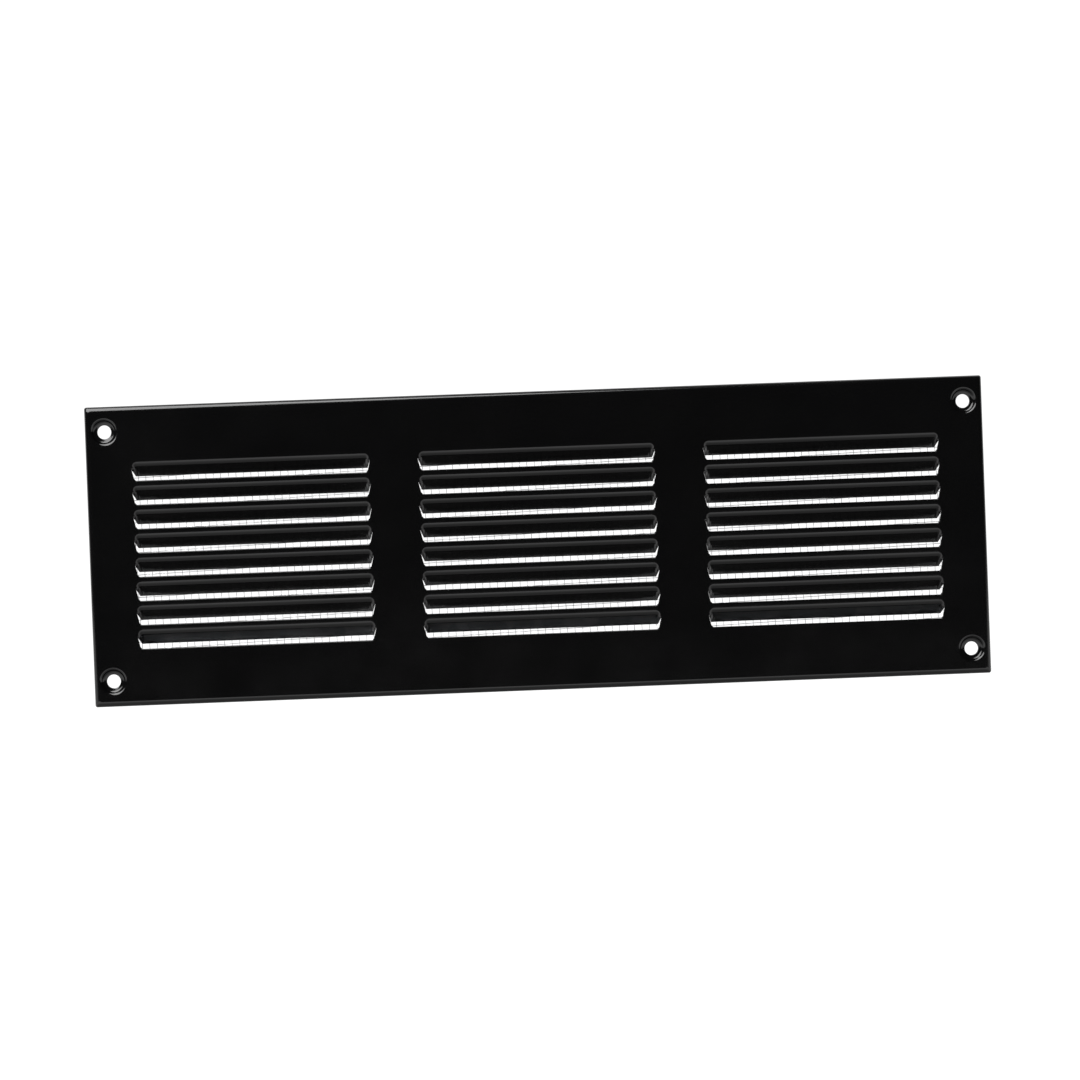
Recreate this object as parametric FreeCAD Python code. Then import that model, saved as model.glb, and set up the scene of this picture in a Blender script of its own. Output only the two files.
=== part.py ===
import FreeCAD, Part
import math
import os
from FreeCAD import Vector

# Louvred air grille, 300 x 100 mm, millimetres.
#
# A pressed steel faceplate with a folded rim, its corners welded and dressed, has
# three banks of eight louvres.
# Each louvre is a tab that is lanced on three sides and bent back at its top edge,
# with drawn, rounded upper corners. A woven wire insect screen lies against the
# back of the louvres and four Z-section strips, bonded to the back of the
# faceplate, hold its edges.
#
# Frame: X along the length, Z up, the front faces -Y. The origin is the middle of
# the plane in which the back edge of the rim meets the wall.

# Faceplate
WIDTH = 300.0
HEIGHT = 100.0
RIM_DEPTH = 8.0
SHEET = 0.8
FOLD_R = 1.8
CORNER_R = 0.8
INNER_CORNER_R = 0.3

# Louvres
BANKS = 3
ROWS = 8
BANK_PITCH = 95.25
ROW_PITCH = 8.0
LOUVRE_LENGTH = 79.5
TOP_ROW_Z = 31.4
CORNER_DRAW_R = 2.2
LIP_DROP = 4.9
BEND = math.radians(50)
BEND_R = 2.5
LIP_DEPTH = BEND_R * (1 - math.cos(BEND)) + (LIP_DROP - BEND_R * math.sin(BEND)) * math.tan(BEND)
SLOT_DROP = 6.4
SLOT_TAPER = 1.05
TAB_TAPER = 1.05
ROLLED_EDGE_R = 0.35

# Screw holes, each in a pressed dimple
HOLE_SPACING_X = 287.0
HOLE_SPACING_Z = 83.0
HOLE_R = 2.3
DIMPLE_R = 4.7
MOUTH_R = 1.0
CUP_R = 1.2
WALL_SLOPE = math.radians(50)
WALL_RUN = 0.25
CUP_SLOPE = math.radians(8)

# Insect screen
WIRE_D = 0.22
WIRE_PITCH = 2.5
SCREEN_WIDTH = 278.0
SCREEN_HEIGHT = 71.0
SCREEN_SKEW_DEG = 1.7
SCREEN_FRONT = 5.0
LAYER_GAP = 0.02
SHORTEST_WIRE = 6.0

# Retaining strips
STRIP_SHEET = 0.5
STRIP_FOLD_R = 0.4
STRIP_FOOT = 5.5
STRIP_LIP = 5.5
STRIP_GRIP = 2.5
LONG_STRIP = 270.0
SHORT_STRIP = 66.0

FRONT_Y = -RIM_DEPTH
HALF_LOUVRE = LOUVRE_LENGTH / 2
SCREEN_BACK = SCREEN_FRONT + 2 * WIRE_D + LAYER_GAP
BEYOND = 5.0


def point(x, depth, z):
    """A point given by its depth behind the front face."""
    return Vector(x, FRONT_Y + depth, z)


def box(x0, x1, y0, y1, z0, z1):
    return Part.makeBox(x1 - x0, y1 - y0, z1 - z0, Vector(x0, y0, z0))


def runs_back(edge):
    """Whether an edge goes back along a corner of the rim, its mitred fold included."""
    bounds = edge.BoundBox
    return bounds.YLength > SHEET and max(bounds.XLength, bounds.ZLength) < BEYOND


def in_plane_y(edge, y):
    return abs(edge.BoundBox.YMin - y) < 1e-3 and abs(edge.BoundBox.YMax - y) < 1e-3


# --- rim and face sheet -------------------------------------------------------


def pan(inset, fold_r, corner_r, back):
    """A block with a rounded front, smaller than the grille by inset all round."""
    x, z = WIDTH / 2 - inset, HEIGHT / 2 - inset
    front = FRONT_Y + inset
    block = box(-x, x, front, back, -z, z)
    block = block.makeFillet(fold_r, [e for e in block.Edges if in_plane_y(e, front)])
    return block.makeFillet(corner_r, [e for e in block.Edges if runs_back(e)])


def rim_and_face():
    outer = pan(0, FOLD_R, CORNER_R, 0)
    inner = pan(SHEET, FOLD_R - SHEET, INNER_CORNER_R, BEYOND)
    return outer.cut(inner)


# --- louvres ------------------------------------------------------------------


def blade_section(x):
    """Closed section across a bent tab at x, its row line at Z = 0."""

    def on_arc(radius, turn):
        return point(x, BEND_R - radius * math.cos(turn), -radius * math.sin(turn))

    inner_r = BEND_R - SHEET
    start, end = on_arc(BEND_R, 0), on_arc(BEND_R, BEND)
    back_start, back_end = on_arc(inner_r, 0), on_arc(inner_r, BEND)
    lip = point(x, LIP_DEPTH, -LIP_DROP)
    lip_back = lip + Vector(0, SHEET * math.cos(BEND), SHEET * math.sin(BEND))
    return Part.Wire([
        Part.Arc(start, on_arc(BEND_R, BEND / 2), end).toShape(),
        Part.makeLine(end, lip),
        Part.makeLine(lip, lip_back),
        Part.makeLine(lip_back, back_end),
        Part.Arc(back_end, on_arc(inner_r, BEND / 2), back_start).toShape(),
        Part.makeLine(back_start, start),
    ])


def outline(inset, drop):
    """A prism with drawn upper corners; its sides close in by inset at the given drop."""
    side, low = HALF_LOUVRE, HALF_LOUVRE - inset
    top = HALF_LOUVRE - CORNER_DRAW_R
    mid = CORNER_DRAW_R * (1 - math.sqrt(0.5))

    def at(x, down):
        return Vector(x, FRONT_Y - BEYOND, -down)

    edges = [
        Part.Arc(at(-side, CORNER_DRAW_R), at(mid - side, mid), at(-top, 0)).toShape(),
        Part.makeLine(at(-top, 0), at(top, 0)),
        Part.Arc(at(top, 0), at(side - mid, mid), at(side, CORNER_DRAW_R)).toShape(),
        Part.makeLine(at(side, CORNER_DRAW_R), at(low, drop)),
        Part.makeLine(at(low, drop), at(-low, drop)),
        Part.makeLine(at(-low, drop), at(-side, CORNER_DRAW_R)),
    ]
    return Part.Face(Part.Wire(edges))


def louvre():
    """One tab, bent back about its row line and free along its lanced lower sides."""
    blade = Part.Face(blade_section(-HALF_LOUVRE)).extrude(Vector(LOUVRE_LENGTH, 0, 0))
    return blade.common(outline(TAB_TAPER, LIP_DROP).extrude(Vector(0, RIM_DEPTH + BEYOND, 0)))


def louvre_window():
    """The hole in the face sheet that one tab and its slot take up."""
    return outline(SLOT_TAPER, SLOT_DROP).extrude(Vector(0, 2 * BEYOND, 0))


def louvre_places():
    for bank in range(BANKS):
        for row in range(ROWS):
            x = (bank - (BANKS - 1) / 2) * BANK_PITCH
            yield Vector(x, 0, TOP_ROW_Z - row * ROW_PITCH)


def placed(shape, place):
    copy = shape.copy()
    copy.translate(place)
    return copy


# --- screw holes --------------------------------------------------------------


def screw_places():
    for sx in (-1, 1):
        for sz in (-1, 1):
            yield Vector(sx * HOLE_SPACING_X / 2, 0, sz * HOLE_SPACING_Z / 2)


def dimple_surface(offset):
    """Edges of one side of a dimple's section, from its mouth in to the screw hole."""
    mouth = (DIMPLE_R, MOUTH_R)
    wall_end = (DIMPLE_R - MOUTH_R * math.sin(WALL_SLOPE) - WALL_RUN,
                MOUTH_R * (1 - math.cos(WALL_SLOPE)) + WALL_RUN * math.tan(WALL_SLOPE))
    cup = (wall_end[0] - CUP_R * math.sin(WALL_SLOPE), wall_end[1] - CUP_R * math.cos(WALL_SLOPE))

    def at(centre, radius, slope):
        return point(centre[0] + radius * math.sin(slope), centre[1] + radius * math.cos(slope), 0)

    mouth_arc = [at(mouth, offset - MOUTH_R, WALL_SLOPE * k / 2) for k in (0, 1, 2)]
    slopes = (WALL_SLOPE, (WALL_SLOPE + CUP_SLOPE) / 2, CUP_SLOPE)
    cup_arc = [at(cup, offset + CUP_R, slope) for slope in slopes]
    end = cup_arc[-1]
    hole_edge = Vector(HOLE_R, end.y + (end.x - HOLE_R) * math.tan(CUP_SLOPE), 0)
    edges = [
        Part.Arc(*mouth_arc).toShape(),
        Part.makeLine(mouth_arc[-1], cup_arc[0]),
        Part.Arc(*cup_arc).toShape(),
        Part.makeLine(end, hole_edge),
    ]
    return edges, mouth_arc[0], hole_edge


def dimple():
    """A dished dimple round a screw hole, pressed back with the sheet at full thickness."""
    front, front_mouth, front_hole = dimple_surface(0)
    back, back_mouth, back_hole = dimple_surface(SHEET)
    ends = [Part.makeLine(front_hole, back_hole), Part.makeLine(back_mouth, front_mouth)]
    face = Part.Face(Part.Wire(Part.sortEdges(front + back + ends)[0]))
    return face.revolve(Vector(0, 0, 0), Vector(0, 1, 0), 360)


def screw_disc():
    return Part.makeCylinder(DIMPLE_R, SHEET, Vector(0, FRONT_Y, 0), Vector(0, 1, 0))


# --- faceplate ----------------------------------------------------------------


def slot_lower_edges(shape):
    """Front edges of the slots' lower sides, which the press leaves rolled over."""
    lows = [place.z - SLOT_DROP for place in louvre_places()]

    def is_lower(edge):
        at_front = in_plane_y(edge, FRONT_Y)
        bounds = edge.BoundBox
        level = bounds.ZLength < 1e-3 and bounds.XLength > LOUVRE_LENGTH / 2
        return at_front and level and any(abs(bounds.ZMin - z) < 1e-3 for z in lows)

    return [edge for edge in shape.Edges if is_lower(edge)]


def faceplate():
    sheet = rim_and_face()
    windows = [placed(louvre_window(), place) for place in louvre_places()]
    discs = [placed(screw_disc(), place) for place in screw_places()]
    sheet = sheet.cut(windows + discs)
    blades = [placed(louvre(), place) for place in louvre_places()]
    dimples = [placed(dimple(), place) for place in screw_places()]
    sheet = sheet.fuse(blades + dimples).removeSplitter()
    return sheet.makeFillet(ROLLED_EDGE_R, slot_lower_edges(sheet))


# --- insect screen ------------------------------------------------------------


def clipped(middle, direction):
    """The ends of a straight line within the outline of the screen, or None."""
    near, far = -1e9, 1e9
    limits = ((middle[0], direction[0], SCREEN_WIDTH / 2), (middle[1], direction[1], SCREEN_HEIGHT / 2))
    for at, step, limit in limits:
        a, b = sorted(((-limit - at) / step, (limit - at) / step))
        near, far = max(near, a), min(far, b)
    return (near, far) if far - near > SHORTEST_WIRE else None


def wires(across, depth):
    """Parallel wires one pitch apart; across is the unit vector from wire to wire."""
    direction = (-across[1], across[0])
    count = int(SCREEN_WIDTH / WIRE_PITCH / 2) + 2
    found = []
    for i in range(-count, count + 1):
        middle = (across[0] * i * WIRE_PITCH, across[1] * i * WIRE_PITCH)
        span = clipped(middle, direction)
        if span:
            start = point(middle[0] + direction[0] * span[0], depth, middle[1] + direction[1] * span[0])
            axis = Vector(direction[0], 0, direction[1])
            found.append(Part.makeCylinder(WIRE_D / 2, span[1] - span[0], start, axis))
    return Part.makeCompound(found)


def screen():
    skew = math.radians(SCREEN_SKEW_DEG)
    warp = wires((math.cos(skew), math.sin(skew)), SCREEN_FRONT + WIRE_D / 2)
    weft = wires((-math.sin(skew), math.cos(skew)), SCREEN_BACK - WIRE_D / 2)
    return warp, weft


# --- retaining strips ---------------------------------------------------------


def edges_at(solid, places):
    """The long edges of a strip that lie at the given (depth, Z) places."""

    def here(edge):
        bounds = edge.BoundBox
        depth = bounds.YMin - FRONT_Y
        long_one = bounds.XLength > STRIP_FOOT
        return long_one and any(abs(depth - d) + abs(bounds.ZMin - z) < 1e-3 for d, z in places)

    return [edge for edge in solid.Edges if here(edge)]


def strip(length, screen_edge):
    """A Z-section strip along X that holds a screen edge lying at Z = screen_edge."""
    foot_front, foot_back = SHEET, SHEET + STRIP_SHEET
    lip_front = SCREEN_BACK + LAYER_GAP
    lip_back = lip_front + STRIP_SHEET
    lap = screen_edge - STRIP_GRIP
    riser_out = lap + STRIP_LIP
    riser_in = riser_out - STRIP_SHEET
    foot_end = riser_in + STRIP_FOOT
    outer = [(foot_front, riser_in), (lip_back, riser_out)]
    inner = [(foot_back, riser_out), (lip_front, riser_in)]
    outline = [outer[0], (foot_front, foot_end), (foot_back, foot_end), inner[0],
               outer[1], (lip_back, lap), (lip_front, lap), inner[1]]
    corners = [point(-length / 2, depth, z) for depth, z in outline]
    solid = Part.Face(Part.makePolygon(corners + corners[:1])).extrude(Vector(length, 0, 0))
    solid = solid.makeFillet(STRIP_FOLD_R, edges_at(solid, inner))
    return solid.makeFillet(STRIP_FOLD_R + STRIP_SHEET, edges_at(solid, outer))


def turned(shape, degrees):
    copy = shape.copy()
    copy.rotate(Vector(0, 0, 0), Vector(0, 1, 0), degrees)
    return copy


def retaining_strips():
    long_strip = strip(LONG_STRIP, SCREEN_HEIGHT / 2)
    short_strip = strip(SHORT_STRIP, SCREEN_WIDTH / 2)
    return {
        "retaining_strip_top": long_strip,
        "retaining_strip_bottom": turned(long_strip, 180),
        "retaining_strip_right": turned(short_strip, 90),
        "retaining_strip_left": turned(short_strip, -90),
    }


def main():
    os.makedirs("parts", exist_ok=True)
    warp, weft = screen()
    nodes = {"faceplate": faceplate(), "screen_warp_wires": warp, "screen_weft_wires": weft}
    nodes.update(retaining_strips())
    for name, shape in nodes.items():
        shape.exportStep("parts/" + name + ".step")
        print(name, shape.isValid(), len(shape.Solids), round(shape.Volume, 1), shape.BoundBox)


main()
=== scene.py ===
import math
import random

import bmesh
import bpy
from mathutils import Matrix, Vector, geometry

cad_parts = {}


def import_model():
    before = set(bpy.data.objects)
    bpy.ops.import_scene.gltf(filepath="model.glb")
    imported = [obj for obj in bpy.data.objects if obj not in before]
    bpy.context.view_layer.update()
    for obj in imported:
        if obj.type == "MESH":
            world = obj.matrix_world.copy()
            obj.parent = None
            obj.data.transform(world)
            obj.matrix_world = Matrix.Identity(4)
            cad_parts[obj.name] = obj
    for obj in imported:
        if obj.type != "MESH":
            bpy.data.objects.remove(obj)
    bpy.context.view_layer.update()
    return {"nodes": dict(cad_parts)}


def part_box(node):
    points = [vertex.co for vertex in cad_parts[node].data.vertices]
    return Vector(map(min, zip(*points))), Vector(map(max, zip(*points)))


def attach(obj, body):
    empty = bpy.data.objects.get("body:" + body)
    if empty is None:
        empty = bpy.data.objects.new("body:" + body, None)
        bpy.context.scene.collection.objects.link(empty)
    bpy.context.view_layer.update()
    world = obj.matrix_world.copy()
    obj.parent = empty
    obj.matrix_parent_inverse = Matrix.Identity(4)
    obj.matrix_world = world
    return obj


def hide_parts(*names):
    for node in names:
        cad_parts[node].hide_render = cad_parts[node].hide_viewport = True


# Louvred air grille. Meshes are worked out in millimetres in the frame of the CAD
# model: X along the length, Z up, the front faces -Y and the wall is at Y = 0.

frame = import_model()

MM = 0.001
MERGE = 2e-6

# Sizes of the CAD model that its boxes don't give
SHEET = 0.8
FOLD_R = 1.8
CORNER_R = 0.8
INNER_CORNER_R = 0.3
BANKS = 3
ROWS = 8
BANK_PITCH = 95.25
ROW_PITCH = 8.0
HALF_LOUVRE = 39.75
TOP_ROW_Z = 31.4
DRAW_R = 2.2
BEND = math.radians(50)
BEND_R = 2.5
LIP_DROP = 4.9
LIP_DEPTH = BEND_R * (1 - math.cos(BEND)) + (LIP_DROP - BEND_R * math.sin(BEND)) * math.tan(BEND)
SLOT_DROP = 6.4
TAPER = 1.05
ROLLED_R = 0.35
HOLE_SPACING = (287.0, 83.0)
HOLE_R = 2.3
DIMPLE_R = 4.7
MOUTH_R = 1.0
CUP_R = 1.2
WALL_SLOPE = math.radians(50)
WALL_RUN = 0.25
CUP_SLOPE = math.radians(8)
WIRE_D = 0.22
WIRE_PITCH = 2.5
WIRE_SKEW = math.radians(1.7)
SCREEN_HALF = (139.0, 35.5)
LAYER_GAP = 0.02
SHORTEST_WIRE = 6.0

# Details that only the visual model has: drawn corners, dips and small rounds
DRAW_BEND_R = 1.3
DRAW_SLOPE = math.radians(62)
DRAW_BLEND = 5
DIP_WIDTH = 1.0
DIP_R = 22.0
SLOT_CORNER_R = 0.45
SIDE_ROLL_R = 0.1
TAB_EDGE = 0.08
RIM_EDGE = 0.12
HOLE_EDGE = 0.1
KNEE = 0.3
DIMPLE_RIM_R = 4.64
SUPPORT = 0.15
FOLD_SUPPORT = 0.02
WIRE_SCATTER = 0.05
WIRE_DRIFT = 0.03
DRIFT_TURN = 0.11
DRIFT_STEP = 0.7

# Mesh density
BEND_STEPS = 14
BLADE_STEPS = 5
DIP_STEPS = 4
DRAW_STEPS = 12
BLADE_COLUMNS = 12
ROLL_STEPS = 5
FOLD_STEPS = 12
CORNER_STEPS = 6
ROUND_STEPS = 48
SLOT_SIDE_STEPS = 6
SLOT_CORNER_STEPS = 6
DIMPLE_STEPS = 8
WEAVE_STEPS = 4
END_GAP = 0.3
WIRE_SIDES = 6
SLOPE_TRIALS = 60
SHARP = math.radians(38)
WIRE_SHARP = math.radians(75)


def millimetres(node):
    low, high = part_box(node)
    return low / MM, high / MM


PLATE_LOW, PLATE_HIGH = millimetres("faceplate")
HALF_WIDTH, HALF_HEIGHT = PLATE_HIGH.x, PLATE_HIGH.z
FRONT_Y, BACK_Y = PLATE_LOW.y, PLATE_HIGH.y
SCREEN_Y = (millimetres("screen_warp_wires")[0].y + millimetres("screen_weft_wires")[1].y) / 2


# --- building meshes ----------------------------------------------------------


class Shell:
    """Points in millimetres and faces between them, made into one object in metres."""

    def __init__(self):
        self.points = []
        self.faces = []

    def row(self, points):
        first = len(self.points)
        self.points.extend(points)
        return list(range(first, len(self.points)))

    def bridge(self, a, b, closed=False):
        count = len(a) if closed else len(a) - 1
        for i in range(count):
            j = (i + 1) % len(a)
            self.faces.append((a[i], a[j], b[j], b[i]))

    def sweep(self, rows, closed=False):
        made = [self.row(points) for points in rows]
        for a, b in zip(made, made[1:]):
            self.bridge(a, b, closed)
        return made

    def build(self, name, sharp=SHARP):
        mesh = bpy.data.meshes.new(name)
        mesh.from_pydata([Vector(p) * MM for p in self.points], [], self.faces)
        bm = bmesh.new()
        bm.from_mesh(mesh)
        bmesh.ops.remove_doubles(bm, verts=bm.verts, dist=MERGE)
        bmesh.ops.dissolve_degenerate(bm, edges=bm.edges, dist=MERGE / 4)
        bmesh.ops.recalc_face_normals(bm, faces=bm.faces)
        for face in bm.faces:
            face.smooth = True
        for edge in bm.edges:
            if len(edge.link_faces) == 2:
                edge.smooth = edge.calc_face_angle(0) < sharp
        bm.to_mesh(mesh)
        bm.free()
        piece = bpy.data.objects.new(name, mesh)
        bpy.context.scene.collection.objects.link(piece)
        return piece


def at_depth(x, depth, z):
    return (x, FRONT_Y + depth, z)


def arc(steps, start=0.0, end=math.pi / 2):
    return [start + (end - start) * i / steps for i in range(steps + 1)]


def inside(x, z, loop):
    odd = False
    for (x0, z0), (x1, z1) in zip(loop, loop[1:] + loop[:1]):
        if (z0 > z) != (z1 > z) and x < x0 + (z - z0) * (x1 - x0) / (z1 - z0):
            odd = not odd
    return odd


def fill_flat(shell, depth, border, holes):
    """Triangles between a convex border and the holes in it, given as (x, z) loops."""
    loops = [border] + holes
    points = [p for loop in loops for p in loop]
    edges = []
    for loop in loops:
        first = len(edges)
        edges += [(first + i, first + (i + 1) % len(loop)) for i in range(len(loop))]
    found = geometry.delaunay_2d_cdt([Vector(p) for p in points], edges, [], 0, 1e-7)
    boxes = []
    for hole in holes:
        xs, zs = [p[0] for p in hole], [p[1] for p in hole]
        boxes.append((min(xs), max(xs), min(zs), max(zs), hole))
    ids = shell.row([at_depth(p.x, depth, p.y) for p in found[0]])
    for face in found[2]:
        x = sum(found[0][i].x for i in face) / len(face)
        z = sum(found[0][i].y for i in face) / len(face)
        near = [b for b in boxes if b[0] < x < b[1] and b[2] < z < b[3]]
        if not any(inside(x, z, b[4]) for b in near):
            shell.faces.append(tuple(ids[i] for i in face))


# --- louvres ------------------------------------------------------------------


def bend_line():
    """Columns of a tab as (x, top drop, x at the lip, dip width), from left to right."""
    top = HALF_LOUVRE - DRAW_R
    right = []
    for turn in arc(DRAW_STEPS):
        x = top + DRAW_R * math.sin(turn)
        lip_x = top + (DRAW_R - TAPER) * math.sin(turn)
        dip = SUPPORT + (DIP_WIDTH - SUPPORT) * math.cos(turn) ** 2
        right.append((x, DRAW_R * (1 - math.cos(turn)), lip_x, dip))
    middle = [(-top + 2 * top * i / BLADE_COLUMNS, 0.0) for i in range(1, BLADE_COLUMNS)]
    left = [(-x, drop, -lip_x, dip) for x, drop, lip_x, dip in reversed(right)]
    return left + [(x, drop, x, DIP_WIDTH) for x, drop in middle] + right


def dip_depth(width):
    """How far the sheet has sunk at a bend line that it dips towards over a width."""
    share = (width - SUPPORT) / (DIP_WIDTH - SUPPORT)
    return share * DIP_WIDTH ** 2 / (2 * DIP_R)


def bent(distance, radius, slope, width):
    """Depth at a distance past a bend line, for a sheet that bends to a given slope."""
    start = dip_depth(width) * 2 / DIP_WIDTH
    first = radius * math.sin(start)
    turn = math.asin(min(math.sin(slope), (first + distance) / radius))
    depth = dip_depth(width) + radius * (math.cos(start) - math.cos(turn))
    beyond = distance - (radius * math.sin(turn) - first)
    return depth + beyond * math.tan(slope)


def blade_slope():
    """The slope at which the straight part of a blade ends exactly at its lip."""
    low, high = 0.0, math.pi / 2
    for _ in range(SLOPE_TRIALS):
        slope = (low + high) / 2
        if bent(LIP_DROP, BEND_R, slope, DIP_WIDTH) < LIP_DEPTH:
            low = slope
        else:
            high = slope
    return (low + high) / 2


BLADE_SLOPE = blade_slope()


def tab_depth(x, drop):
    """Depth of a tab's front: a flat blade whose upper corners are drawn from the sheet."""
    plane = bent(max(drop, 0.0), BEND_R, BLADE_SLOPE, DIP_WIDTH)
    over, down = abs(x) - (HALF_LOUVRE - DRAW_R), DRAW_R - drop
    if over <= 0:
        return plane
    if down > 0:
        inwards, share = DRAW_R - math.hypot(over, down), down / math.hypot(over, down)
    else:
        inwards, share = math.hypot(over - DRAW_R, down), 0.0
    width = SUPPORT + (DIP_WIDTH - SUPPORT) * share ** 2
    wall = bent(max(inwards, 0.0), DRAW_BEND_R, DRAW_SLOPE, width)
    if wall < MERGE or plane < MERGE:
        return min(wall, plane)
    return (plane ** -DRAW_BLEND + wall ** -DRAW_BLEND) ** (-1 / DRAW_BLEND)


def tab_back(x, drop, depth):
    """The point one sheet thickness behind a point of a tab's front."""
    step = 0.01
    by_x = (tab_depth(x + step, drop) - tab_depth(x - step, drop)) / (2 * step)
    by_drop = (tab_depth(x, drop + step) - tab_depth(x, drop - step)) / (2 * step)
    back = Vector((-by_x, 1.0, -by_drop)).normalized() * SHEET
    return (x + back.x, depth + back.y, drop + back.z)


def tab_column(x, top, lip_x, width):
    """Front and back points down one column of a tab, as (x, depth, drop)."""
    bend_end = BEND_R * math.sin(BLADE_SLOPE) / LIP_DROP
    shares = [bend_end * i / BEND_STEPS for i in range(BEND_STEPS + 1)]
    shares += [bend_end + (1 - bend_end) * i / BLADE_STEPS for i in range(1, BLADE_STEPS + 1)]
    start = dip_depth(width)
    column = [((x, start, top), (x, start + SHEET, top))]
    for share in shares[1:]:
        here, drop = x + (lip_x - x) * share, top + (LIP_DROP - top) * share
        depth = tab_depth(here, drop)
        column.append(((here, depth, drop), tab_back(here, drop, depth)))
    return column


def inset_column(column, side):
    """The column at the very edge of a tab: pushed outwards and thinned to a small round."""
    thinned = []
    for i, (front, back) in enumerate(column):
        reach = TAB_EDGE * min(1.0, i / 3)
        across = (Vector(back) - Vector(front)).normalized() * reach
        out = Vector((side * reach, 0, 0))
        thinned.append((tuple(Vector(front) + across), tuple(Vector(back) - across)))
        column[i] = (tuple(Vector(front) - out), tuple(Vector(back) - out))
    return thinned


def tab(shell, place):
    """One bent tab, open along its bend line, where the face sheet joins it."""
    columns = [tab_column(*line) for line in bend_line()]
    edge_left = inset_column(columns[0], -1)
    edge_right = inset_column(columns[-1], 1)
    columns = [edge_left] + columns + [edge_right]

    def put(point):
        x, depth, drop = point
        return at_depth(place[0] + x, depth, place[1] - drop)

    fronts, backs = [], []
    for column in columns:
        fronts.append(shell.row([put(front) for front, _ in column]))
        backs.append(shell.row([put(back) for _, back in column]))
    for rows in (fronts, backs):
        for a, b in zip(rows, rows[1:]):
            shell.bridge(a, b)
    for i in (0, -1):
        shell.bridge(fronts[i], backs[i])
    lip_front = [row[-1] for row in fronts]
    lip_back = [row[-1] for row in backs]
    shell.bridge(lip_front, lip_back)


def slot_side():
    """The sheared edge of a slot from right slit to left, as (x, drop, roll radius)."""
    low_x, run = HALF_LOUVRE - TAPER, SLOT_DROP - DRAW_R
    slant = math.atan2(TAPER, run)
    corner = SLOT_CORNER_R
    reach = corner * math.tan((math.pi / 2 + slant) / 2)
    right = []
    side_end = 1 - reach / math.hypot(TAPER, run)
    for i in range(SLOT_SIDE_STEPS + 1):
        share = side_end * i / SLOT_SIDE_STEPS
        roll = SIDE_ROLL_R * min(1.0, i / 2)
        right.append((HALF_LOUVRE - TAPER * share, DRAW_R + run * share, roll))
    centre = (low_x - reach, SLOT_DROP - corner)
    for step, turn in enumerate(arc(SLOT_CORNER_STEPS, 0, math.pi / 2 + slant)):
        if step:
            angle = -slant + turn
            roll = SIDE_ROLL_R + (ROLLED_R - SIDE_ROLL_R) * step / SLOT_CORNER_STEPS
            x = centre[0] + corner * math.cos(angle)
            right.append((x, centre[1] + corner * math.sin(angle), roll))
    left = [(-x, drop, roll) for x, drop, roll in reversed(right)]
    return right + left


def slot_loop():
    """(x, drop, roll, outward normal) round the slot from the right slit to the left."""
    points = slot_side()
    loop = []
    for i, (x, drop, roll) in enumerate(points):
        before, after = points[max(0, i - 1)], points[min(len(points) - 1, i + 1)]
        run = Vector((after[0] - before[0], after[1] - before[1])).normalized()
        loop.append((x, drop, roll, (run.y, -run.x)))
    return loop


def slot_walls(shell, place):
    """The rolled front edge and sheared wall of a slot; returns its front and back loops."""
    rows = [[] for _ in range(ROLL_STEPS + 2)]
    front, back = [], []
    for x, drop, roll, (nx, nd) in slot_loop():
        for i, turn in enumerate(arc(ROLL_STEPS)):
            out = roll * (1 - math.sin(turn))
            depth = roll * (1 - math.cos(turn))
            point = (place[0] + x + nx * out, place[1] - (drop + nd * out))
            if i == 0:
                front.append(point)
            rows[i].append(at_depth(point[0], depth, point[1]))
        back.append((place[0] + x, place[1] - drop))
        rows[-1].append(at_depth(back[-1][0], SHEET, back[-1][1]))
    shell.sweep(rows)
    return front, back


def ring_line():
    """The bend line as seen by the sheet round it: (x, drop, dip width)."""
    return [(x, drop, width) for x, drop, _, width in bend_line()]


def outwards(loop):
    """Unit normals out of a loop of (x, z) points, whichever way it runs."""
    area = sum(a[0] * b[1] - b[0] * a[1] for a, b in zip(loop, loop[1:] + loop[:1]))
    sign = 1 if area > 0 else -1
    normals = []
    for i in range(len(loop)):
        a, b = loop[i - 1], loop[(i + 1) % len(loop)]
        run = Vector((b[0] - a[0], b[1] - a[1])).normalized() * sign
        normals.append((run.y, -run.x))
    return normals


def dipping_ring(shell, place, slot, depth):
    """The sheet next to a louvre, which dips to its bend line; returns its flat outer loop."""
    inner = [(place[0] + x, place[1] - drop, width) for x, drop, width in ring_line()]
    inner += [(x, z, SUPPORT) for x, z in slot[1:-1]]
    normals = outwards([(x, z) for x, z, _ in inner])
    rows = []
    for i in range(DIP_STEPS + 1):
        share = i / DIP_STEPS
        row = []
        for (x, z, width), (nx, nz) in zip(inner, normals):
            sunk = dip_depth(width) * (1 - share) ** 2
            row.append(at_depth(x + nx * width * share, depth + sunk, z + nz * width * share))
        rows.append(row)
    shell.sweep(rows, closed=True)
    return [(x, z) for x, _, z in rows[-1]]


def louvre(shell, place):
    tab(shell, place)
    front, back = slot_walls(shell, place)
    return dipping_ring(shell, place, front, 0.0), dipping_ring(shell, place, back, SHEET)


def without_doubles(loop):
    return [p for before, p in zip(loop[-1:] + loop, loop) if math.dist(before, p) > MERGE]


# --- screw dimples ------------------------------------------------------------


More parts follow.
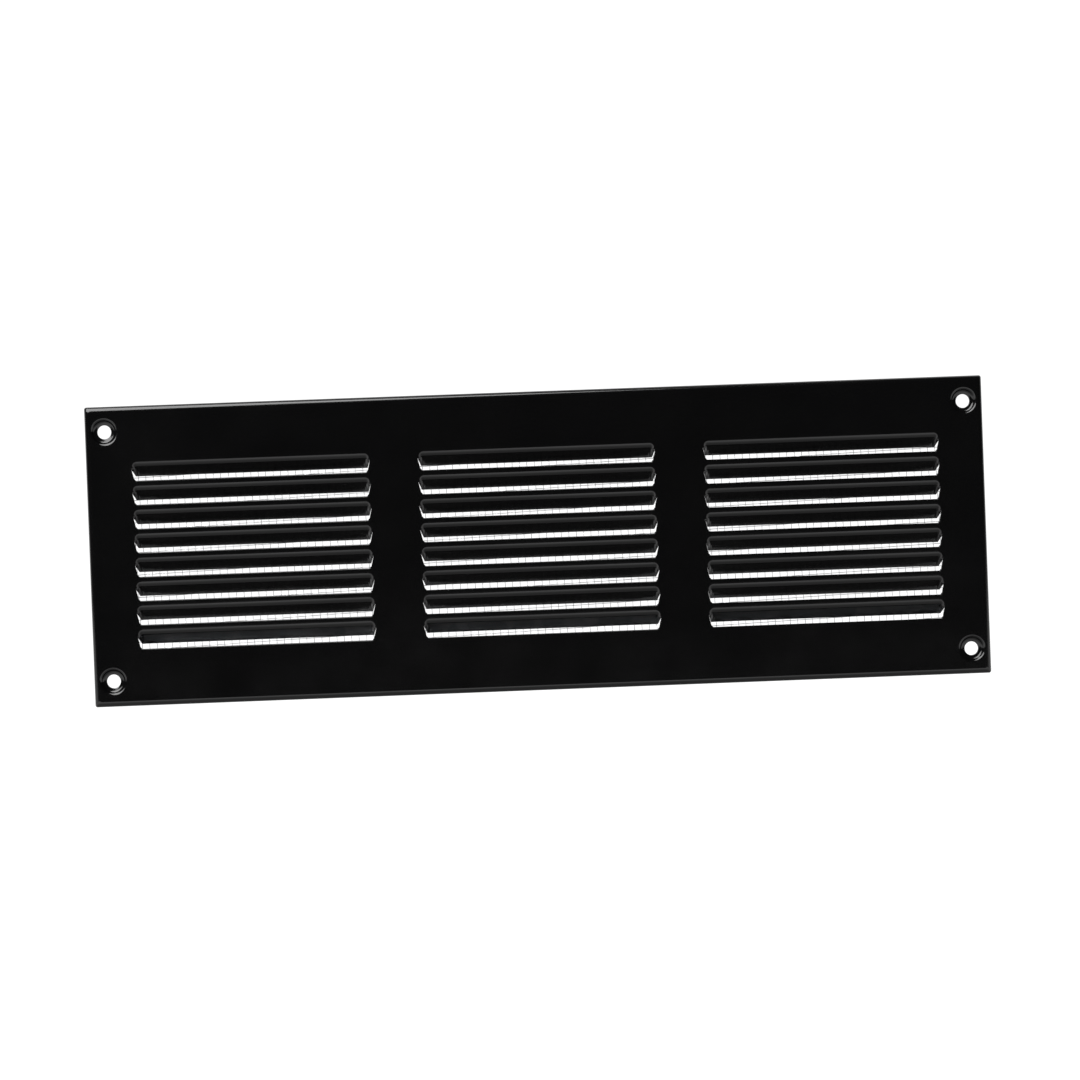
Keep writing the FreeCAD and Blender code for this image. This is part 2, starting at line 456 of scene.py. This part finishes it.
def dimple_side(offset):
    """One side of a dished dimple as (radius, depth), from its mouth in to the hole."""
    wall = (DIMPLE_R - MOUTH_R * math.sin(WALL_SLOPE) - WALL_RUN,
            MOUTH_R * (1 - math.cos(WALL_SLOPE)) + WALL_RUN * math.tan(WALL_SLOPE))
    cup = (wall[0] - CUP_R * math.sin(WALL_SLOPE), wall[1] - CUP_R * math.cos(WALL_SLOPE))
    side = [(DIMPLE_RIM_R, offset), (DIMPLE_RIM_R - FOLD_SUPPORT, offset)]
    radius = MOUTH_R - offset
    for turn in arc(DIMPLE_STEPS, 0, WALL_SLOPE)[1:]:
        reach = DIMPLE_R - radius * math.sin(turn)
        if reach < side[-1][0] - FOLD_SUPPORT:
            side.append((reach, MOUTH_R - radius * math.cos(turn)))
    for turn in arc(DIMPLE_STEPS, WALL_SLOPE, CUP_SLOPE):
        radius = CUP_R + offset
        side.append((cup[0] + radius * math.sin(turn), cup[1] + radius * math.cos(turn)))
    return side


def dimple_profile():
    """The section of a dimple, from its mouth round the edge of the hole to its back."""
    front, back = dimple_side(0.0), dimple_side(SHEET)
    front_edge = front[-1][1] + (front[-1][0] - HOLE_R) * math.tan(CUP_SLOPE)
    back_edge = back[-1][1] + (back[-1][0] - HOLE_R) * math.tan(CUP_SLOPE)
    knee = HOLE_EDGE * KNEE
    rounding = [
        (HOLE_R + HOLE_EDGE, front_edge),
        (HOLE_R + knee, front_edge + knee),
        (HOLE_R, front_edge + HOLE_EDGE),
        (HOLE_R, back_edge - HOLE_EDGE),
        (HOLE_R + HOLE_EDGE, back_edge),
    ]
    return front + rounding + back[::-1]


def circle(place, radius):
    turns = [2 * math.pi * i / ROUND_STEPS for i in range(ROUND_STEPS)]
    return [(place[0] + radius * math.cos(t), place[1] + radius * math.sin(t)) for t in turns]


def dimple(shell, place):
    rows = []
    for radius, depth in dimple_profile():
        rows.append([at_depth(x, depth, z) for x, z in circle(place, radius)])
    shell.sweep(rows, closed=True)
    return circle(place, DIMPLE_RIM_R), circle(place, DIMPLE_RIM_R)


# --- rim ----------------------------------------------------------------------


def rectangle(half_x, half_z, radius):
    loop = []
    for quarter, (sx, sz) in enumerate(((1, 1), (-1, 1), (-1, -1), (1, -1))):
        for turn in arc(CORNER_STEPS, quarter * math.pi / 2, (quarter + 1) * math.pi / 2):
            x = sx * (half_x - radius) + radius * math.cos(turn)
            z = sz * (half_z - radius) + radius * math.sin(turn)
            loop.append((x, z))
    return loop


def rim_levels():
    """(inset from the outline, corner radius, depth) round the folded rim, front to inside."""
    depth = BACK_Y - FRONT_Y
    levels = [(FOLD_R + FOLD_SUPPORT, CORNER_R, 0.0)]
    for turn in arc(FOLD_STEPS):
        levels.append((FOLD_R * (1 - math.sin(turn)), CORNER_R, FOLD_R * (1 - math.cos(turn))))
    levels.append((0.0, CORNER_R, FOLD_R + SUPPORT))
    levels.append((0.0, CORNER_R, depth - RIM_EDGE))
    levels.append((RIM_EDGE * KNEE, CORNER_R, depth - RIM_EDGE * KNEE))
    levels.append((RIM_EDGE, CORNER_R, depth))
    levels.append((SHEET - RIM_EDGE, INNER_CORNER_R, depth))
    levels.append((SHEET - RIM_EDGE * KNEE, INNER_CORNER_R, depth - RIM_EDGE * KNEE))
    levels.append((SHEET, INNER_CORNER_R, depth - RIM_EDGE))
    inner = FOLD_R - SHEET
    for turn in reversed(arc(FOLD_STEPS)):
        inset = SHEET + inner * (1 - math.sin(turn))
        levels.append((inset, INNER_CORNER_R, SHEET + inner * (1 - math.cos(turn))))
    levels.append((FOLD_R + FOLD_SUPPORT, INNER_CORNER_R, SHEET))
    return levels


def rim(shell):
    loops = []
    rows = []
    for inset, radius, depth in rim_levels():
        loop = rectangle(HALF_WIDTH - inset, HALF_HEIGHT - inset, radius)
        loops.append(loop)
        rows.append([at_depth(x, depth, z) for x, z in loop])
    shell.sweep(rows, closed=True)
    return without_doubles(loops[0]), without_doubles(loops[-1])


def louvre_places():
    for bank in range(BANKS):
        for row in range(ROWS):
            yield ((bank - (BANKS - 1) / 2) * BANK_PITCH, TOP_ROW_Z - row * ROW_PITCH)


def screw_places():
    for sx in (-1, 1):
        for sz in (-1, 1):
            yield (sx * HOLE_SPACING[0] / 2, sz * HOLE_SPACING[1] / 2)


def enamelled_plate():
    shell = Shell()
    border_front, border_back = rim(shell)
    pairs = [louvre(shell, place) for place in louvre_places()]
    pairs += [dimple(shell, place) for place in screw_places()]
    fill_flat(shell, 0.0, border_front, [front for front, _ in pairs])
    fill_flat(shell, SHEET, border_back, [back for _, back in pairs])
    return shell.build("pressed_faceplate")


# --- insect screen ------------------------------------------------------------


def clipped(middle, direction):
    near, far = -math.inf, math.inf
    for at, step, limit in zip(middle, direction, SCREEN_HALF):
        a, b = sorted(((-limit - at) / step, (limit - at) / step))
        near, far = max(near, a), min(far, b)
    return (near, far) if far - near > SHORTEST_WIRE else None


def weave_stations(near, far):
    step = WIRE_PITCH / WEAVE_STEPS
    first, last = math.ceil(near / step + END_GAP), math.floor(far / step - END_GAP)
    return [near] + [i * step for i in range(first, last + 1)] + [far]


def wire_section(centre, slope, direction, across):
    """The points round a wire where it climbs at a slope."""
    x, y, z = centre
    tilt = 1 / math.sqrt(1 + slope * slope)
    row = []
    for k in range(WIRE_SIDES):
        turn = 2 * math.pi * k / WIRE_SIDES
        sideways = WIRE_D / 2 * math.cos(turn)
        deep = WIRE_D / 2 * math.sin(turn)
        along = -deep * slope * tilt
        row.append((
            x + across[0] * sideways + direction[0] * along,
            y + deep * tilt,
            z + across[1] * sideways + direction[1] * along,
        ))
    return row


def wire(shell, number, middle, direction, across, side):
    """One wire, bent over and under those that cross it."""
    lift = (WIRE_D + LAYER_GAP) / 2
    parity = -1 if number % 2 else 1
    rows = []
    for s in weave_stations(*clipped(middle, direction)):
        phase = math.pi * s / WIRE_PITCH
        y = SCREEN_Y - side * parity * lift * math.cos(phase)
        slope = side * parity * lift * math.pi / WIRE_PITCH * math.sin(phase)
        sway = WIRE_DRIFT * math.sin(s * DRIFT_TURN + number * DRIFT_STEP)
        x = middle[0] + direction[0] * s + across[0] * sway
        z = middle[1] + direction[1] * s + across[1] * sway
        rows.append(wire_section((x, y, z), slope, direction, across))
    made = shell.sweep(rows, closed=True)
    shell.faces.append(tuple(made[0]))
    shell.faces.append(tuple(made[-1]))


def woven(name, across, side, seed):
    dice = random.Random(seed)
    direction = (-across[1], across[0])
    shell = Shell()
    count = int(SCREEN_HALF[0] / WIRE_PITCH) + 2
    for i in range(-count, count + 1):
        place = i * WIRE_PITCH + dice.uniform(-WIRE_SCATTER, WIRE_SCATTER)
        middle = (across[0] * place, across[1] * place)
        if clipped((across[0] * i * WIRE_PITCH, across[1] * i * WIRE_PITCH), direction):
            wire(shell, i, middle, direction, across, side)
    return shell.build(name, WIRE_SHARP)


# --- materials ----------------------------------------------------------------


class Finish:
    """A node material around one Principled shader."""

    def __init__(self, name, **sockets):
        self.material = bpy.data.materials.new(name)
        self.material.use_nodes = True
        self.tree = self.material.node_tree
        self.shader = self.tree.nodes["Principled BSDF"]
        for socket, value in sockets.items():
            self.shader.inputs[socket.replace("_", " ")].default_value = value
        self.place = self.node("ShaderNodeTexCoord").outputs["Object"]

    def node(self, kind, **settings):
        made = self.tree.nodes.new(kind)
        for key, value in settings.items():
            if key in made.inputs:
                made.inputs[key].default_value = value
            else:
                setattr(made, key, value)
        return made

    def link(self, output, target):
        self.tree.links.new(output, target)

    def noise(self, scale, detail=3.0, roughness=0.5, stretch=None):
        made = self.node("ShaderNodeTexNoise")
        made.inputs["Scale"].default_value = scale
        made.inputs["Detail"].default_value = detail
        made.inputs["Roughness"].default_value = roughness
        place = self.place
        if stretch:
            mapping = self.node("ShaderNodeMapping")
            mapping.inputs["Scale"].default_value = stretch
            self.link(place, mapping.inputs["Vector"])
            place = mapping.outputs["Vector"]
        self.link(place, made.inputs["Vector"])
        return made.outputs["Fac"]

    def spangle(self, scale):
        made = self.node("ShaderNodeTexVoronoi")
        made.inputs["Scale"].default_value = scale
        self.link(self.place, made.inputs["Vector"])
        return made.outputs["Color"]

    def ramp(self, source, low, high, start=0.3, end=0.7):
        """Colours between low and high as source goes from start to end."""
        made = self.node("ShaderNodeValToRGB")
        stops = made.color_ramp.elements
        stops[0].position, stops[1].position = start, end
        stops[0].color = (*low, 1.0) if isinstance(low, tuple) else (low, low, low, 1.0)
        stops[1].color = (*high, 1.0) if isinstance(high, tuple) else (high, high, high, 1.0)
        self.link(source, made.inputs["Fac"])
        return made.outputs["Color"]

    def bump(self, heights):
        """Bumps in a chain, each a (source, strength, distance)."""
        normal = None
        for source, strength, distance in heights:
            made = self.node("ShaderNodeBump")
            made.inputs["Strength"].default_value = strength
            made.inputs["Distance"].default_value = distance
            self.link(source, made.inputs["Height"])
            if normal:
                self.link(normal, made.inputs["Normal"])
            normal = made.outputs["Normal"]
        self.link(normal, self.shader.inputs["Normal"])

    def drive(self, socket, source):
        self.link(source, self.shader.inputs[socket])


def black_enamel():
    finish = Finish("black_enamel", Metallic=0.0, IOR=1.5)
    patch = finish.noise(14.0, 4.0)
    finish.drive("Base Color", finish.ramp(patch, (0.0012, 0.0012, 0.0013), (0.0019, 0.0019, 0.002)))
    smear = finish.noise(45.0, 5.0, 0.6)
    finish.drive("Roughness", finish.ramp(smear, 0.10, 0.16))
    peel = finish.noise(900.0, 2.0, 0.4)
    wave = finish.noise(60.0, 1.0, 0.3)
    finish.bump([(peel, 0.05, 0.00004), (wave, 0.05, 0.0002)])
    return finish.material


def zinc_wire():
    finish = Finish("zinc_wire", Metallic=1.0)
    patch = finish.noise(90.0, 3.0)
    finish.drive("Base Color", finish.ramp(patch, (0.80, 0.81, 0.82), (0.94, 0.94, 0.95)))
    finish.drive("Roughness", finish.ramp(finish.noise(260.0), 0.34, 0.5))
    finish.bump([(finish.noise(4200.0, 2.0), 0.2, 0.00001)])
    return finish.material


def zinc_strip():
    finish = Finish("zinc_strip", Metallic=1.0)
    grains = finish.spangle(170.0)
    finish.drive("Base Color", finish.ramp(grains, (0.52, 0.54, 0.56), (0.70, 0.71, 0.73), 0.1, 0.9))
    finish.drive("Roughness", finish.ramp(finish.noise(120.0, 4.0, 0.6), 0.3, 0.48))
    rolled = finish.noise(60.0, 3.0, 0.6, (1.0, 8.0, 8.0))
    finish.bump([(grains, 0.08, 0.00005), (rolled, 0.1, 0.00004)])
    return finish.material


def dress(piece, material):
    piece.data.materials.clear()
    piece.data.materials.append(material)


# --- studio -------------------------------------------------------------------


FLOOR_Z = -0.30
FLOOR_FRONT, FLOOR_BACK, FLOOR_SIDE = -1.8, 6.0, 5.0
# Glow of the floor right under the object: a painted shadow
FLOOR_PAINTED_SHADOW = 0.12
CAMERA_LENS = 80.0
CAMERA_SENSOR = 36.0
CAMERA_PLACE = (-0.0168, -0.8087, 0.0069)
CAMERA_AHEAD = (0.0211, 0.9998, -0.0083)
CAMERA_RIGHT = (0.9991, -0.0214, -0.0374)


def set_range(ramp, start, end, low, high):
    """Makes a Map Range node go from low to high as its input goes from start to end."""
    for socket, value in (("From Min", start), ("From Max", end), ("To Min", low), ("To Max", high)):
        ramp.inputs[socket].default_value = value


def painted_floor_glow_and_shadow(finish):
    """Painted light on the floor: its glow is dim near the object as a painted shadow, brighter
    further off all round, and white behind it.
    """
    far = finish.node("ShaderNodeVectorMath", operation="LENGTH")
    finish.link(finish.place, far.inputs[0])
    around = finish.node("ShaderNodeMapRange", interpolation_type="SMOOTHSTEP")
    set_range(around, 0.30, 0.85, FLOOR_PAINTED_SHADOW, 0.92)
    finish.link(far.outputs["Value"], around.inputs["Value"])
    split = finish.node("ShaderNodeSeparateXYZ")
    finish.link(finish.place, split.inputs["Vector"])
    behind = finish.node("ShaderNodeMapRange", interpolation_type="SMOOTHSTEP")
    set_range(behind, 0.15, 0.45, FLOOR_PAINTED_SHADOW, 1.0)
    finish.link(split.outputs["Y"], behind.inputs["Value"])
    brighter = finish.node("ShaderNodeMath", operation="MAXIMUM")
    finish.link(around.outputs["Result"], brighter.inputs[0])
    finish.link(behind.outputs["Result"], brighter.inputs[1])
    return brighter.outputs["Value"]


def floor():
    mesh = bpy.data.meshes.new("studio_floor")
    corners = [(-FLOOR_SIDE, FLOOR_FRONT), (FLOOR_SIDE, FLOOR_FRONT),
               (FLOOR_SIDE, FLOOR_BACK), (-FLOOR_SIDE, FLOOR_BACK)]
    mesh.from_pydata([(x, y, FLOOR_Z) for x, y in corners], [], [(0, 1, 2, 3)])
    sheet = bpy.data.objects.new("studio_floor", mesh)
    bpy.context.scene.collection.objects.link(sheet)
    finish = Finish("glowing_floor_painted_shadow", Roughness=0.9, Emission_Color=(1, 1, 1, 1))
    finish.drive("Base Color", finish.ramp(finish.noise(2.0), 0.14, 0.16))
    # Painted light: the floor glows by its own emission, which is dimmed round the object as a
    # painted shadow
    finish.drive("Emission Strength", painted_floor_glow_and_shadow(finish))
    dress(sheet, finish.material)


def softbox(name, centre, target, size, radiance):
    data = bpy.data.lights.new(name, "AREA")
    data.shape = "RECTANGLE"
    data.size, data.size_y = size
    data.energy = radiance * math.pi * size[0] * size[1]
    lamp = bpy.data.objects.new(name, data)
    lamp.location = centre
    aim = Vector(target) - Vector(centre)
    lamp.rotation_euler = aim.to_track_quat("-Z", "Y").to_euler()
    lamp.visible_camera = False
    bpy.context.scene.collection.objects.link(lamp)
    return lamp


def world():
    """White to the eye; the room itself is white behind the object and dark in front."""
    studio = bpy.data.worlds.new("studio")
    bpy.context.scene.world = studio
    studio.use_nodes = True
    tree = studio.node_tree
    tree.nodes.clear()
    place = tree.nodes.new("ShaderNodeTexCoord")
    split = tree.nodes.new("ShaderNodeSeparateXYZ")
    ramp = tree.nodes.new("ShaderNodeMapRange")
    set_range(ramp, -0.05, 0.25, 0.03, 1.0)
    room = tree.nodes.new("ShaderNodeBackground")
    sky = tree.nodes.new("ShaderNodeBackground")
    sky.inputs["Color"].default_value = (1, 1, 1, 1)
    sky.inputs["Strength"].default_value = 1.1
    room.inputs["Color"].default_value = (1, 1, 1, 1)
    rays = tree.nodes.new("ShaderNodeLightPath")
    mix = tree.nodes.new("ShaderNodeMixShader")
    out = tree.nodes.new("ShaderNodeOutputWorld")
    link = tree.links.new
    link(place.outputs["Generated"], split.inputs["Vector"])
    link(split.outputs["Y"], ramp.inputs["Value"])
    link(ramp.outputs["Result"], room.inputs["Strength"])
    link(rays.outputs["Is Camera Ray"], mix.inputs["Fac"])
    link(room.outputs["Background"], mix.inputs[1])
    link(sky.outputs["Background"], mix.inputs[2])
    link(mix.outputs["Shader"], out.inputs["Surface"])


def camera():
    data = bpy.data.cameras.new("camera")
    data.lens = CAMERA_LENS
    data.sensor_width = CAMERA_SENSOR
    data.clip_start = 0.01
    data.dof.use_dof = False
    view = bpy.data.objects.new("camera", data)
    back = -Vector(CAMERA_AHEAD).normalized()
    right = Vector(CAMERA_RIGHT)
    right = (right - back * right.dot(back)).normalized()
    up = back.cross(right)
    view.matrix_world = Matrix((
        (right.x, up.x, back.x, CAMERA_PLACE[0]),
        (right.y, up.y, back.y, CAMERA_PLACE[1]),
        (right.z, up.z, back.z, CAMERA_PLACE[2]),
        (0, 0, 0, 1),
    ))
    bpy.context.scene.collection.objects.link(view)
    bpy.context.scene.camera = view


def main():
    camera()
    world()
    floor()
    softbox("overhead", (-0.75, -1.0, 1.15), (-0.2, -0.35, 0.0), (1.3, 1.9), 7.5)
    bpy.context.scene.view_settings.view_transform = "Standard"

    enamel, wire_zinc, strip_zinc = black_enamel(), zinc_wire(), zinc_strip()
    plate = enamelled_plate()
    across_warp = (math.cos(WIRE_SKEW), math.sin(WIRE_SKEW))
    across_weft = (-math.sin(WIRE_SKEW), math.cos(WIRE_SKEW))
    warp = woven("woven_warp_wires", across_warp, 1, 11)
    weft = woven("woven_weft_wires", across_weft, -1, 12)
    pieces = (
        (plate, "faceplate", "black_enamel", enamel),
        (warp, "screen_warp_wires", "zinc_wire", wire_zinc),
        (weft, "screen_weft_wires", "zinc_wire", wire_zinc),
    )
    for piece, node, slot, material in pieces:
        dress(piece, material)
        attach(piece, "root")
        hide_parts(node)
    for name, node in frame["nodes"].items():
        if name.startswith("retaining_strip"):
            dress(node, strip_zinc)


main()
